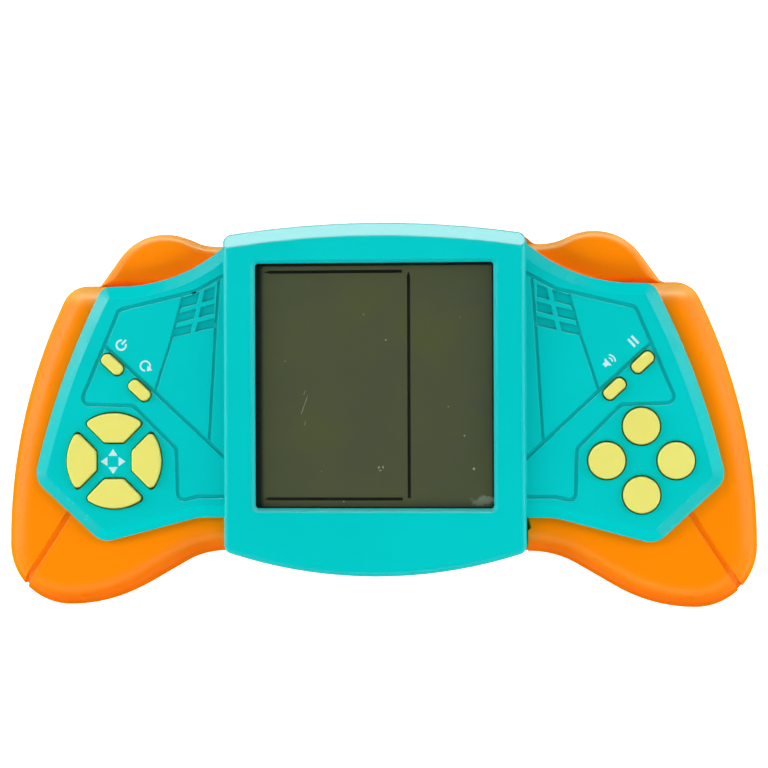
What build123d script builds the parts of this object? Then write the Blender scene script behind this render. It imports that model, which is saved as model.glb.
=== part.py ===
from build123d import *
from math import asin, cos, degrees, radians, sin, sqrt
import os

os.makedirs("parts", exist_ok=True)

# Axes: +X to the right of a player, +Y towards the top edge, +Z out of the screen.
# The game lies on its back at Z = 0, and the outline is centred on X = 0, Y = 0.

# Outline of the whole case. Places on the wings are measured in from the case's side, out from
# the block's side or from the middle between them, so they follow when either side moves.
overall_width = 179.8
overall_depth = 91.2
grip_half_width = overall_width / 2
block_top_y = overall_depth / 2
wall = 2.0
parting_z = 12.0
seam_gap = 0.15

# Battery bay, cells and door
cell_diameter = 14.5
cell_length = 50.5
cell_nub_radius = 2.7
cell_nub_height = 1.0
cell_edge_round = 0.6
cell_gap = 0.4
cell_float = 0.25
bay_centre_y = -14.5
bay_wall = 1.4
bay_roof = 1.2
bay_board_gap = 0.35
contact_thickness = 0.4
contact_width = 10.0
contact_height = 11.0
contact_pin_radius = 0.6
contact_pin_reach = 2.0
spring_length = 5.7
spring_radius = 3.2
spring_wire_radius = 0.35
spring_turns = 3.5
door_thickness = 1.7
door_recess = 0.3
door_tongue = 2.0
door_tongue_thickness = 0.8
door_fit = 0.1
door_lap = 1.0
ridge_count = 5
ridge_pitch = 1.8
ridge_width = 0.8
ridge_depth = 0.4
ridge_length = 22.0
ridge_margin = 5.4
bay_half_length = cell_length / 2 + spring_length / 2 + contact_thickness
bay_half_width = bay_half_length + bay_wall

# Screen block, as wide as the bay behind it with room for walls and cables at both sides
block_side_room = 5.8
block_half_width = bay_half_width + block_side_room
wing_middle_x = (grip_half_width + block_half_width) / 2
block_top_radius = 235.0
block_low_y = -37.7
block_low_radius = 112.0
block_corner = 2.0
block_front = 1.6
block_edge_round = 1.2
top_bevel_width = 3.2
top_bevel_drop = 2.2

# Window and the display stack behind it
bezel_side = 7.5
window_half_width = block_half_width - bezel_side
window_half_height = 28.9
window_y = 7.25
window_corner = 0.8
window_bevel_width = 0.8
window_bevel_drop = 0.9
lens_lap = 1.7
lens_thickness = 1.0
glass_thickness = 1.1
glass_ledge = 1.85
reflector_thickness = 0.2
lcd_frame_height = 2.3
lcd_frame_rim = 3.6
zebra_width = 2.0
zebra_margin = 0.8
zebra_short = 3.0
zebra_gap = 0.1
zebra_clear = 0.5

# Boards
board_thickness = 1.2
board_edge_gap = 0.3
main_board_low_y = -28.0
main_board_high_y = 37.5
board_screw_x_inset = 1.8
board_screw_y = (-25.5, 32.0)
board_post_radius = 1.75

# Rear cover
tray_z = 5.0
tray_round = 3.0
tray_smooth = 3.3
hump_margin = 2.6
hump_round = 1.5
hump_corner = 4.0
hump_top_margin = 4.0
hump_low_margin = 0.8
belly_x = grip_half_width - 17.9
belly_y = -18.0
belly_radius = 26.0
belly_inset = 0.6
belly_round = 6.0
belly_smooth = 6.4

# Wing plates
wing_drop = 3.5
plate_thickness = 2.0
plate_edge_height = 3.0
plate_bevel_width = 2.8
plate_bevel_drop = 1.3
plate_root = 5.0
plate_top_y = 31.1
plate_top_tangent_x = grip_half_width - 28.7
plate_top_rise = 15.0
plate_shoulder = (grip_half_width - 24.4, 31.0)
plate_shoulder_round = 3.2
plate_side_mid = (grip_half_width - 13.9, 6.9)
plate_side = (grip_half_width - 7.6, -15.1)
plate_side_round = 5.0
plate_toe = (grip_half_width - 24.0, -30.2)
plate_toe_round = 5.0
plate_heel = (block_half_width + 6.6, -24.0)
plate_heel_round = 14.0
ledge_width = 3.0
skirt_width = 2.0

# Orange grips
grip_low_radius = 14.7
grip_side_straight = 0.2
grip_side_radius = 134.5
grip_ear_y = 31.5
grip_ear_round = 6.4
grip_round = 6.0
grip_belly_turn = 30.0
grip_waist_run = 10.4
grip_waist_radius = 22.0
grip_waist_gap = 0.7
grip_top_rise = 0.4
cut_start = (grip_half_width - 16.9, -21.4)
cut_end = (grip_half_width - 2.3, -43.6)
cut_width = 1.3
cut_depth = 0.6

# Shoulder lobes
lobe_front_z = 17.0
lobe_round = 2.4
lobe_start = (block_half_width + 3.2, 40.85)
lobe_rise_turn = 27.0
lobe_radius = 14.0
lobe_fall_radius = 13.6
lobe_fall_turn = 54.0
lobe_tail = 9.0

# Grooves and grille of the wing plates. The grille is placed out from the side of the block.
groove_width = 0.9
groove_depth = 0.3
fine_groove_width = 0.7
groove_corner = 1.6
diagonal_start = (wing_middle_x + 2.3, 17.3)
diagonal_end_y = -9.8
grille_depth = 0.5
grille_corners = ((10.6, 28.1), (2.5, 30.9), (2.5, 21.2), (12.7, 18.8))
grille_ribs = (((5.0, 32.0), (8.2, 18.0)), ((14.3, 24.3), (0.3, 28.0)), ((14.3, 21.1), (0.3, 24.5)))
grille_rib_width = 1.05
sound_slot_place = (-block_half_width - 7.5, 29.5)
sound_slot_length = 1.1
sound_slot_width = 0.4
sound_slot_tilt = 15.0

# Keys
cluster_x = wing_middle_x - 0.25
cluster_y = -10.5
sector_radius = 11.35
sector_flat = 4.35
sector_bridge = 2.9
sector_corner = 1.0
round_key_radius = 4.3
round_key_circle = 8.05
small_key_length = 5.8
small_key_width = 2.8
small_key_corner = 1.2
small_key_tilt = 43.0
small_key_outer = (wing_middle_x + 0.1, 12.5)
small_key_inner = (wing_middle_x - 6.45, 6.3)
key_proud = 1.2
key_gap = 0.35
key_edge_round = 0.45
key_flange = 0.7
key_flange_thickness = 1.0
key_rest_gap = 0.05

# Key mats and key boards
dome_height = 3.2
dome_base_radius = 2.6
dome_top_radius = 1.3
dome_wall = 0.6
dome_circle = 7.8
mat_thickness = 0.8
mat_inset = 0.4
key_board_inset = 4.2
key_board_low_x = block_half_width + 4.0
key_board_high_y = 20.0
key_post_radius = 2.0
key_post_places = ((cluster_x + 8.0, 5.0), (cluster_x - 12.0, -18.8), (cluster_x - 14.3, 8.0))
key_post_gap = 0.3

# Ribbon cables
ribbon_y = -14.5
ribbon_width = 8.0
ribbon_thickness = 0.3
ribbon_lap = 3.0
ribbon_sag = 1.8
ribbon_rise_inset = 3.5
ribbon_bend = 0.8
slot_gap = 1.0

# Screws and their seats
screw_radius = 1.2
screw_length = 8.5
screw_head_radius = 2.4
screw_head_height = 1.8
screw_seat_z = 8.0
small_screw_radius = 0.8
small_screw_length = 4.0
small_screw_head_radius = 1.5
small_screw_head_height = 0.9
screw_play = 0.2
pilot_spare = 0.4
thread_play = 0.05
boss_radius = 4.2
post_radius = 2.4
shoulder_post_place = (block_half_width + 5.5, 30.2)
wing_post_place = (block_half_width + 5.9, -3.0)
ear_post_place = (grip_half_width - 13.6, 14.0)
grip_post_place = (grip_half_width - 14.9, -34.0)

# Sounder and small parts of the board
disc_radius = 10.0
disc_thickness = 0.5
disc_top_inset = 23.6
disc_rib_wall = 1.2
disc_rib_height = 1.6
sound_hole_radius = 0.9
sound_hole_circle = 4.5
sound_hole_count = 6
lead_radius = 0.45
lead_bend = 1.2
chip_radius = 6.0
chip_height = 1.6
chip_place = (-14.0, 20.0)

# Levels of the stack through the screen block, from the back to the face
door_top_z = door_recess + door_thickness
cell_axis_z = door_top_z + cell_float + cell_diameter / 2
roof_low_z = cell_axis_z + cell_diameter / 2 + cell_float
roof_top_z = roof_low_z + bay_roof
board_low_z = roof_top_z + bay_board_gap
board_top_z = board_low_z + board_thickness
frame_top_z = board_top_z + lcd_frame_height
rear_glass_low_z = frame_top_z + reflector_thickness
front_glass_low_z = rear_glass_low_z + glass_thickness
lens_low_z = front_glass_low_z + glass_thickness
lens_top_z = lens_low_z + lens_thickness
face_z = lens_top_z + block_front

# Levels of the wings, from the plate's face inwards
wing_z = face_z - wing_drop
plate_low_z = wing_z - plate_thickness
grip_front_z = wing_z - plate_edge_height
key_low_z = plate_low_z - key_rest_gap - key_flange_thickness
mat_low_z = key_low_z - key_rest_gap - dome_height - mat_thickness
key_board_low_z = mat_low_z - board_thickness

# Places that follow from the sizes above
grip_side_y = -overall_depth / 2 + grip_low_radius + grip_side_straight
grip_turned_width = grip_low_radius + grip_waist_radius * sin(radians(grip_belly_turn))
grip_run_width = grip_waist_run * cos(radians(grip_belly_turn))
grip_waist_x = block_half_width + grip_waist_gap
grip_belly_width = grip_half_width - grip_waist_x - grip_turned_width - grip_run_width
grip_belly_radius = grip_belly_width / sin(radians(grip_belly_turn))
plate_top_reach = plate_top_tangent_x - block_half_width + plate_root
plate_top_radius = (plate_top_reach ** 2 + plate_top_rise ** 2) / (2 * plate_top_rise)
disc_y = block_top_y - disc_top_inset
bay_half_depth = cell_diameter + 1.5 * cell_gap
bay_low_y = bay_centre_y - bay_half_depth
bay_high_y = bay_centre_y + bay_half_depth
cell_offset_y = cell_diameter / 2 + cell_gap / 2
hump_low_y = bay_low_y - bay_wall - hump_low_margin
hump_half_width = bay_half_width + hump_margin


def arc_drop(radius, half):
    """Rise of a circular arc over half of its chord."""
    return radius - sqrt(radius ** 2 - half ** 2)


def slab(outline, low, high):
    """A flat outline raised straight up from one level to another."""
    return extrude(Pos(0, 0, low) * outline, amount=high - low, dir=(0, 0, 1))


def box(x_low, x_high, y_low, y_high, low, high):
    """A box given by its six faces."""
    centre = ((x_low + x_high) / 2, (y_low + y_high) / 2, (low + high) / 2)
    return Pos(*centre) * Box(x_high - x_low, y_high - y_low, high - low)


def rod(place, radius, low, high):
    """An upright round rod or hole."""
    centre = Pos(place[0], place[1], (low + high) / 2)
    return centre * Cylinder(radius, high - low)


def round_near(outline, place, radius):
    """Round the one corner of an outline that lies nearest to a place."""
    corner = outline.vertices().sort_by_distance(Vector(place))[0]
    return fillet(corner, radius)


def edges_at(solid, level):
    """The edges of a solid that lie flat at one level."""
    return solid.edges().filter_by_position(Axis.Z, level - 0.001, level + 0.001)


def both_sides(right):
    """A right-hand piece together with its mirror image."""
    return [right, mirror(right, about=Plane.YZ)]


def save(node, *solids):
    """Write the solids of one node to its own file."""
    shape = solids[0] if len(solids) == 1 else Compound(children=list(solids))
    export_step(shape, "parts/" + node + ".step")


# Outlines


def block_outline(corner=block_corner):
    """Screen block seen from the front: two flat sides, a low arc above and a deeper one below."""
    half = block_half_width
    top_side_y = block_top_y - arc_drop(block_top_radius, half)
    low_side_y = block_low_y + arc_drop(block_low_radius, half)
    outline = make_face([
        ThreePointArc((-half, top_side_y), (0, block_top_y), (half, top_side_y)),
        Line((half, top_side_y), (half, low_side_y)),
        ThreePointArc((half, low_side_y), (0, block_low_y), (-half, low_side_y)),
        Line((-half, low_side_y), (-half, top_side_y)),
    ])
    return fillet(outline.vertices(), corner) if corner else outline


def plate_top_arc():
    """The hollow top edge that a wing plate and the orange wall under it share."""
    turn = degrees(asin(plate_top_reach / plate_top_radius))
    return JernArc((plate_top_tangent_x, plate_top_y), (-1, 0), plate_top_radius, -turn)


def plate_outline(inset=0.0):
    """Right wing plate, running a little way into the screen block."""
    root_x = block_half_width - plate_root
    top = plate_top_arc()
    outline = make_face([
        top,
        Line(top @ 0, plate_shoulder),
        ThreePointArc(plate_shoulder, plate_side_mid, plate_side),
        Line(plate_side, plate_toe),
        Line(plate_toe, plate_heel),
        Line(plate_heel, (root_x, plate_heel[1])),
        Line((root_x, plate_heel[1]), top @ 1),
    ])
    if inset:
        outline = offset(outline, -inset, kind=Kind.INTERSECTION)
    outline = round_near(outline, plate_heel, plate_heel_round)
    outline = round_near(outline, plate_toe, max(plate_toe_round - inset, 1.0))
    outline = round_near(outline, plate_side, max(plate_side_round - inset, 1.0))
    return round_near(outline, plate_shoulder, max(plate_shoulder_round - inset, 0.8))


def grip_outline():
    """Right orange grip: ear, long side, round end and the waist that runs back to the block."""
    root_x = block_half_width - plate_root
    low = (grip_half_width, grip_side_y - grip_side_straight)
    end = JernArc(low, (0, -1), grip_low_radius, -90)
    belly = JernArc(end @ 1, (-1, 0), grip_belly_radius, -grip_belly_turn)
    run = Line(belly @ 1, belly @ 1 + grip_waist_run * (belly % 1))
    waist = JernArc(run @ 1, run % 1, grip_waist_radius, grip_belly_turn)
    rise = grip_ear_y - grip_side_y
    side_turn = degrees(asin(rise / grip_side_radius))
    side = JernArc((grip_half_width, grip_side_y), (0, 1), grip_side_radius, side_turn)
    top = Pos(0, grip_top_rise) * plate_top_arc()
    outline = make_face([
        side,
        Line((grip_half_width, grip_side_y), low),
        end,
        belly,
        run,
        waist,
        Line(waist @ 1, (root_x, (waist @ 1).Y)),
        Line((root_x, (waist @ 1).Y), top @ 1),
        top,
        Line(top @ 0, side @ 1),
    ])
    return round_near(outline, side @ 1, grip_ear_round)


def lobe_outline():
    """Right shoulder lobe: a rounded bump that starts at the block and dives behind the ear."""
    root_x = block_half_width - plate_root
    rise = JernArc(lobe_start, (1, 0), lobe_radius, lobe_rise_turn)
    crest = JernArc(rise @ 1, rise % 1, lobe_radius, -lobe_rise_turn)
    fall = JernArc(crest @ 1, (1, 0), lobe_fall_radius, -lobe_fall_turn)
    tail = Line(fall @ 1, fall @ 1 + lobe_tail * (fall % 1))
    low_y = (tail @ 1).Y
    return make_face([
        Line((root_x, lobe_start[1]), lobe_start),
        rise,
        crest,
        fall,
        tail,
        Line(tail @ 1, (root_x, low_y)),
        Line((root_x, low_y), (root_x, lobe_start[1])),
    ])


def case_pilot(place):
    """Blind hole in a post that a case screw bites into."""
    return rod(place, screw_radius + thread_play, parting_z - 1, screw_seat_z + screw_length + pilot_spare)


def right_of(solid, edge):
    """Trim a right-hand piece at one place along X."""
    reach = overall_width
    return solid & box(edge, reach, -reach, reach, -reach, reach)


def outside_block(solid):
    """Trim a right-hand orange piece where the side of the screen block stands."""
    return right_of(solid, block_half_width + seam_gap)


# Orange grip covers


def grip_form(inset=0.0):
    """The grip's front swell with its rounded edge, or the same form shrunk by an inset."""
    outline = offset(grip_outline(), -inset) if inset else grip_outline()
    form = slab(outline, parting_z, grip_front_z - inset)
    return fillet(edges_at(form, grip_front_z - inset), grip_round - inset)


def lobe_form(inset=0.0):
    """The lobe's front with its rounded edge, or the same form shrunk by an inset."""
    outline = offset(lobe_outline(), -inset) if inset else lobe_outline()
    form = slab(outline, parting_z, lobe_front_z - inset)
    return fillet(edges_at(form, lobe_front_z - inset), max(lobe_round - inset, 0.3))


def grip_cover():
    """Right orange front shell: swell, lobe and the ledge that carries the wing plate."""
    cut_line = Line(cut_start, cut_end)
    cut_slab = slab(trace(cut_line, cut_width), parting_z - 1, grip_front_z + 1)
    cover = grip_form() - (cut_slab & (grip_form() - grip_form(cut_depth)))
    cover += slab(plate_outline(), parting_z, grip_front_z)
    cover += lobe_form()
    cover -= grip_form(wall) & slab(grip_outline(), parting_z, grip_front_z)
    cover -= lobe_form(wall)
    cover -= slab(plate_outline(ledge_width), parting_z - 1, grip_front_z + 1)
    for place in (ear_post_place, grip_post_place):
        post = rod(place, post_radius, parting_z, grip_front_z - wall / 2)
        cover += post & grip_form(wall / 2)
        cover -= case_pilot(place)
    return outside_block(cover)


# Turquoise front cover


def groove(points, width, corner=0.0):
    """A shallow channel along a line of points, cut into the face of a wing plate."""
    line = FilletPolyline(*points, radius=corner) if corner else Polyline(*points)
    return slab(trace(line, width), wing_z - groove_depth, wing_z + 1)


def diagonal_at(x):
    """Height of the long diagonal groove at one place along X."""
    start_x, start_y = diagonal_start
    slope = (start_y - diagonal_end_y) / (start_x - block_half_width)
    return start_y - slope * (start_x - x)


def plate_grooves():
    """Channels that divide the right wing plate into panels."""
    block = block_half_width
    side = grip_half_width
    edge = block - 0.5
    rim = [(edge, 33.9), (block + 7.2, 29.8), (side - 28.6, 25.5), (side - 19.0, 3.0),
           (cluster_x - 4.7, 2.65), (cluster_x - 15.0, -7.6), (cluster_x - 15.4, -20.2),
           (cluster_x - 20.1, -19.0), (edge, -19.0)]
    cuts = [groove(rim, groove_width, groove_corner)]
    cuts.append(groove([diagonal_start, (edge, diagonal_at(edge))], groove_width))
    outer = [(block + 10.1, 28.6), (block + 12.9, 18.5), (block + 17.0, diagonal_at(block + 17.0))]
    inner = [(block + 1.3, 33.0), (block + 2.2, 21.5), (block + 3.9, diagonal_at(block + 3.9))]
    cuts.append(groove(outer, fine_groove_width))
    cuts.append(groove(inner, fine_groove_width))
    return cuts


def grille_recess():
    """Slanted openings' floor between the raised bars of the grille."""
    recess = make_face(Polyline(*grille_corners, close=True))
    for rib in grille_ribs:
        recess -= trace(Line(*rib), grille_rib_width)
    return Pos(block_half_width, 0) * slab(recess, wing_z - grille_depth, wing_z + 1)


def sector_outline(grow=0.0):
    """Upper direction key: a slice of a disc between two diagonals, with a flat inner end."""
    radius = sector_radius + grow
    flat = sector_flat - grow
    side = (sector_bridge / 2 - grow) * sqrt(2)
    wedge = make_face(Polyline((side - flat, flat), (flat - side, flat), (radius - side, radius),
                               (side - radius, radius), close=True))
    slice_face = (wedge & Circle(radius)).face()
    return fillet(slice_face.vertices(), sector_corner)


def round_key_outline(grow=0.0):
    """A round key."""
    return Circle(round_key_radius + grow)


def small_key_outline(grow=0.0):
    """A small oblong key."""
    return RectangleRounded(small_key_length + 2 * grow, small_key_width + 2 * grow, small_key_corner + grow)


def key_plan():
    """Each key's name, side of the case, outline and place."""
    plan = []
    for name, turn in (("up", 0), ("left", 90), ("down", 180), ("right", 270)):
        place = Pos(-cluster_x, cluster_y) * Rot(0, 0, turn)
        plan.append(("key_" + name, sector_outline, place, place * Pos(0, dome_circle)))
    for name, turn in (("top", 0), ("left", 90), ("bottom", 180), ("right", 270)):
        place = Pos(cluster_x, cluster_y) * Rot(0, 0, turn) * Pos(0, round_key_circle)
        plan.append(("key_round_" + name, round_key_outline, place, place))
    small_keys = (("power", -1, small_key_outer), ("reset", -1, small_key_inner),
                  ("pause", 1, small_key_outer), ("sound", 1, small_key_inner))
    for name, side, spot in small_keys:
        place = Pos(side * spot[0], spot[1]) * Rot(0, 0, side * small_key_tilt)
        plan.append(("key_" + name, small_key_outline, place, place))
    return plan


def key_cap(outline, place):
    """One key: a cap that stands proud of the plate and a flange that keeps it in."""
    cap = slab(outline(), key_low_z, wing_z + key_proud)
    cap = fillet(edges_at(cap, wing_z + key_proud), key_edge_round)
    cap += slab(outline(key_flange), key_low_z, key_low_z + key_flange_thickness)
    return place * cap


def front_block():
    """Screen block of the front cover: a deep box with a bevelled top edge and window."""
    block = slab(block_outline(), parting_z, face_z)
    block = fillet(edges_at(block, face_z), block_edge_round)
    bevel_low_z = face_z - top_bevel_drop
    arc_centre = (0, block_top_y - block_top_radius)
    keep = rod(arc_centre, block_top_radius + 1, parting_z, bevel_low_z)
    bevel = Cone(block_top_radius, block_top_radius - top_bevel_width, top_bevel_drop)
    keep += Pos(arc_centre[0], arc_centre[1], bevel_low_z + top_bevel_drop / 2) * bevel
    return block & keep


def window_cut():
    """The window with its sloped edge."""
    width = 2 * window_half_width
    height = 2 * window_half_height
    hole = slab(RectangleRounded(width, height, window_corner), 0, block_front + 1)
    grown = 2 * window_bevel_width
    wide = RectangleRounded(width + grown, height + grown, window_corner + window_bevel_width)
    slope = loft([
        Pos(0, 0, block_front - window_bevel_drop) * RectangleRounded(width, height, window_corner),
        Pos(0, 0, block_front) * wide,
    ])
    return Pos(0, window_y, lens_top_z) * (hole + slope)


def wing_plate():
    """Right wing plate with its bevelled edge, skirt, posts and grooves."""
    bevel_low_z = wing_z - plate_bevel_drop
    plate = slab(plate_outline(), grip_front_z, bevel_low_z)
    plate += loft([
        Pos(0, 0, bevel_low_z) * plate_outline(),
        Pos(0, 0, wing_z) * plate_outline(plate_bevel_width),
    ], ruled=True)
    plate = right_of(plate, block_half_width - wall / 2)
    plate -= slab(plate_outline(skirt_width), grip_front_z - 1, plate_low_z)
    for cut in plate_grooves():
        plate -= cut
    plate -= grille_recess()
    for place in (shoulder_post_place, wing_post_place):
        plate += rod(place, post_radius, parting_z, plate_low_z)
        plate -= case_pilot(place)
    for place in key_post_places:
        plate += rod(place, key_post_radius, mat_low_z, plate_low_z)
        pilot_top_z = key_board_low_z + small_screw_length + pilot_spare
        plate -= rod(place, small_screw_radius + thread_play, mat_low_z - 1, pilot_top_z)
    return plate


def board_post_places():
    """Where the main board is screwed down, on the right-hand side."""
    x = block_half_width - wall - board_screw_x_inset
    return [(x, y) for y in board_screw_y]


def front_cover():
    """Whole turquoise moulding: block and both wing plates."""
    cover = front_block()
    hollow = slab(offset(block_outline(), -wall), parting_z - 1, lens_top_z)
    for plate in both_sides(wing_plate()):
        cover += plate
    cover -= hollow
    cover -= window_cut()
    for side in (-1, 1):
        for post in board_post_places():
            place = (side * post[0], post[1])
            cover += rod(place, board_post_radius, board_top_z, lens_top_z)
            pilot_top_z = board_low_z + small_screw_length + pilot_spare
            cover -= rod(place, small_screw_radius + thread_play, board_top_z - 1, pilot_top_z)
        slot_half = ribbon_width / 2 + slot_gap
        wall_x = side * (block_half_width - wall / 2)
        slot_high_z = ribbon_run_z() + ribbon_thickness + slot_gap
        cover -= box(wall_x - wall, wall_x + wall, ribbon_y - slot_half, ribbon_y + slot_half,
                     parting_z - 1, slot_high_z)
    for name, outline, place, dome in key_plan():
        hole = slab(outline(key_gap), plate_low_z - 1, wing_z + 1)
        cover -= place * hole
    slot = Rot(0, 0, sound_slot_tilt) * SlotOverall(sound_slot_length, sound_slot_width)
    cover -= Pos(*sound_slot_place) * slab(slot, plate_low_z - 1, wing_z + 1)
    return cover


# Rear cover and battery bay


def rear_outline():
    """Outline of the whole case at the parting plane, with its inner corners eased."""
    outline = block_outline(0)
    root_x = block_half_width - wall / 2
    beside = Pos(root_x + overall_width / 2, 0) * Rectangle(overall_width, 2 * overall_depth)
    for part in (grip_outline(), lobe_outline()):
        for face in both_sides(part & beside):
            outline += face
    outline = offset(outline, tray_smooth)
    outline = offset(outline, -2 * tray_smooth)
    return offset(outline, tray_smooth)


def belly_outline(inset=0.0):
    """Right belly: the part of the grip's back that swells down to the table."""
    outline = offset(grip_outline(), -belly_inset) & (Pos(belly_x, belly_y) * Circle(belly_radius))
    outline = offset(outline, -belly_smooth - inset)
    return offset(outline, belly_smooth)


def tray_form(inset=0.0):
    """Back of the case between the bellies, or the same form shrunk by an inset."""
    outline = offset(rear_outline(), -inset) if inset else rear_outline()
    form = slab(outline, tray_z + inset, parting_z)
    return fillet(edges_at(form, tray_z + inset), max(tray_round - inset, 0.5))


def belly_form(inset=0.0):
    """One belly, or the same form shrunk by an inset."""
    form = slab(belly_outline(inset), inset, parting_z)
    return fillet(edges_at(form, inset), max(belly_round - inset, 0.5))


def hump():
    """Raised middle of the back that holds the battery bay."""
    high_y = bay_high_y + bay_wall + hump_top_margin
    outline = Rectangle(2 * hump_half_width, high_y - hump_low_y)
    outline = fillet(outline.vertices(), hump_corner)
    outline = Pos(0, (high_y + hump_low_y) / 2) * outline
    form = slab(outline, 0, parting_z)
    return fillet(edges_at(form, 0), hump_round)


def case_screw_places():
    """Where the case screws go in, on the right-hand side."""
    return [shoulder_post_place, wing_post_place, ear_post_place, grip_post_place]


def boss_low_z(place):
    """Bosses rise from the tray's floor, and the grip's own boss from the deeper belly floor."""
    return wall / 2 if place == grip_post_place else tray_z + wall / 2


def rear_cover():
    """Orange back shell with bay, bosses and sound holes."""
    cover = tray_form() + hump()
    for belly in both_sides(belly_form()):
        cover += belly
    cover -= tray_form(wall)
    for belly in both_sides(belly_form(wall)):
        cover -= belly
    cover += box(-bay_half_width, bay_half_width, bay_low_y - bay_wall, bay_high_y + bay_wall, tray_z, roof_top_z)
    cover -= box(-bay_half_length, bay_half_length, bay_low_y, bay_high_y, door_top_z, roof_low_z)
    for side in (-1, 1):
        for spot in case_screw_places():
            place = (side * spot[0], spot[1])
            boss = rod(place, boss_radius, boss_low_z(spot), parting_z)
            cover += boss
    for side in (-1, 1):
        for spot in case_screw_places():
            place = (side * spot[0], spot[1])
            cover -= rod(place, screw_head_radius + screw_play, -1, screw_seat_z)
            cover -= rod(place, screw_radius + screw_play, screw_seat_z - 1, parting_z + 1)
        pin_y = bay_centre_y + side * cell_offset_y
        pin = Cylinder(contact_pin_radius + thread_play, 4 * bay_wall)
        cover -= Pos(-bay_half_length, pin_y, cell_axis_z) * Rot(0, 90, 0) * pin
    cover += rod((0, disc_y), disc_radius + seam_gap + disc_rib_wall, tray_z + wall / 2,
                 tray_z + wall + disc_rib_height)
    cover -= rod((0, disc_y), disc_radius + seam_gap, tray_z + wall, parting_z)
    holes = [(0, disc_y)]
    for count in range(sound_hole_count):
        angle = radians(360 / sound_hole_count * count)
        holes.append((sound_hole_circle * cos(angle), disc_y + sound_hole_circle * sin(angle)))
    for place in holes:
        cover -= rod(place, sound_hole_radius, tray_z - 1, tray_z + wall + 0.5)
    return cover - door_way()


def door_half_widths():
    """Half widths of the door's plate and of its plate with tongues."""
    tongued = bay_half_width - seam_gap
    return tongued - door_tongue, tongued


def door_way():
    """The stepped channel that the door slides in, open at the lower end of the hump."""
    plate, tongued = door_half_widths()
    high_y = bay_high_y + door_lap
    low_y = hump_low_y - wall
    tongue_low_z = door_top_z - door_tongue_thickness - door_fit
    way = box(-plate - door_fit, plate + door_fit, low_y, high_y, -1, door_top_z + door_fit)
    return way + box(-tongued - door_fit, tongued + door_fit, low_y, high_y,
                     tongue_low_z, door_top_z + door_fit)


def battery_door():
    """Sliding door: a plate with side tongues and finger ridges."""
    plate, tongued = door_half_widths()
    high_y = bay_high_y + door_lap - door_fit
    low_y = hump_low_y + door_fit
    door = box(-plate, plate, low_y, high_y, door_recess, door_top_z)
    door += box(-tongued, tongued, low_y, high_y, door_top_z - door_tongue_thickness, door_top_z)
    for count in range(ridge_count):
        ridge_y = low_y + ridge_margin + count * ridge_pitch
        door -= box(-ridge_length / 2, ridge_length / 2, ridge_y, ridge_y + ridge_width,
                    0, door_recess + ridge_depth)
    return door


def aa_cell(side):
    """One AA cell along X, with its nub. The two cells lie head to tail."""
    body_length = cell_length - cell_nub_height
    can = Cylinder(cell_diameter / 2, body_length)
    can = fillet(can.edges(), cell_edge_round)
    cell = can + Pos(0, 0, body_length / 2) * Cylinder(cell_nub_radius, 2 * cell_nub_height)
    middle_x = side * (bay_half_length - contact_thickness - cell_length / 2 - cell_nub_height / 2)
    place = Pos(middle_x, bay_centre_y + side * cell_offset_y, cell_axis_z)
    return place * Rot(0, 90 * side, 0) * cell


def battery_spring(side):
    """Coil that pushes on a cell's flat end."""
    length = spring_length - 2 * spring_wire_radius
    path = Helix(length / spring_turns, length, spring_radius)
    wire = sweep(Plane(origin=path @ 0, z_dir=path % 0) * Circle(spring_wire_radius), path, is_frenet=True)
    start_x = -side * (bay_half_length - contact_thickness - spring_wire_radius)
    place = Pos(start_x, bay_centre_y + side * cell_offset_y, cell_axis_z)
    return place * Rot(0, 90 * side, 0) * wire


def battery_plates():
    """Spring steel plates at both ends: one link across the cells and two ends with pins."""
    half_height = contact_height / 2
    low_z = cell_axis_z - half_height
    high_z = cell_axis_z + half_height
    outer = bay_half_length
    inner = bay_half_length - contact_thickness
    link_half = cell_offset_y + contact_width / 2
    link = box(inner, outer, bay_centre_y - link_half, bay_centre_y + link_half, low_z, high_z)
    plates = [link]
    for side in (-1, 1):
        middle_y = bay_centre_y + side * cell_offset_y
        plate = box(-outer, -inner, middle_y - contact_width / 2, middle_y + contact_width / 2, low_z, high_z)
        pin = Cylinder(contact_pin_radius, contact_pin_reach)
        plate += Pos(-outer - contact_pin_reach / 2, middle_y, cell_axis_z) * Rot(0, 90, 0) * pin
        plates.append(plate)
    return plates


def wire_along(points, bend):
    """A round wire along straight runs joined by arcs."""
    path = FilletPolyline(*points, radius=bend)
    return sweep(Plane(origin=path @ 0, z_dir=path % 0) * Circle(lead_radius), path)


def battery_leads():
    """Two wires from the contact pins up to the main board."""
    leads = []
    start_x = -bay_half_length - contact_pin_reach
    rise_x = start_x - lead_bend
    for side in (-1, 1):
        y = bay_centre_y + side * cell_offset_y
        leads.append(wire_along([(start_x, y, cell_axis_z), (rise_x, y, cell_axis_z),
                                 (rise_x, y, board_low_z)], 0.9 * lead_bend))
    return leads


# Display


def screen_lens():
    """Clear window plate glued behind the bezel."""
    half_x = window_half_width + lens_lap
    half_y = window_half_height + lens_lap
    return box(-half_x, half_x, window_y - half_y, window_y + half_y, lens_low_z, lens_top_z)


def glass_span():
    """Half width, lower end and upper end of the front glass of the display."""
    half_x = window_half_width + lens_lap
    low_y = window_y - window_half_height - lens_lap - glass_ledge
    high_y = window_y + window_half_height + lens_lap
    return half_x, low_y, high_y


def zebra_span():
    """Lower and upper edge of the rubber connector under the glass ledge."""
    low_y = glass_span()[1] + zebra_margin
    return low_y, low_y + zebra_width


def front_glass():
    """Front glass of the display with the contact ledge along its lower edge."""
    half_x, low_y, high_y = glass_span()
    return box(-half_x, half_x, low_y, high_y, front_glass_low_z, lens_low_z)


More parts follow.
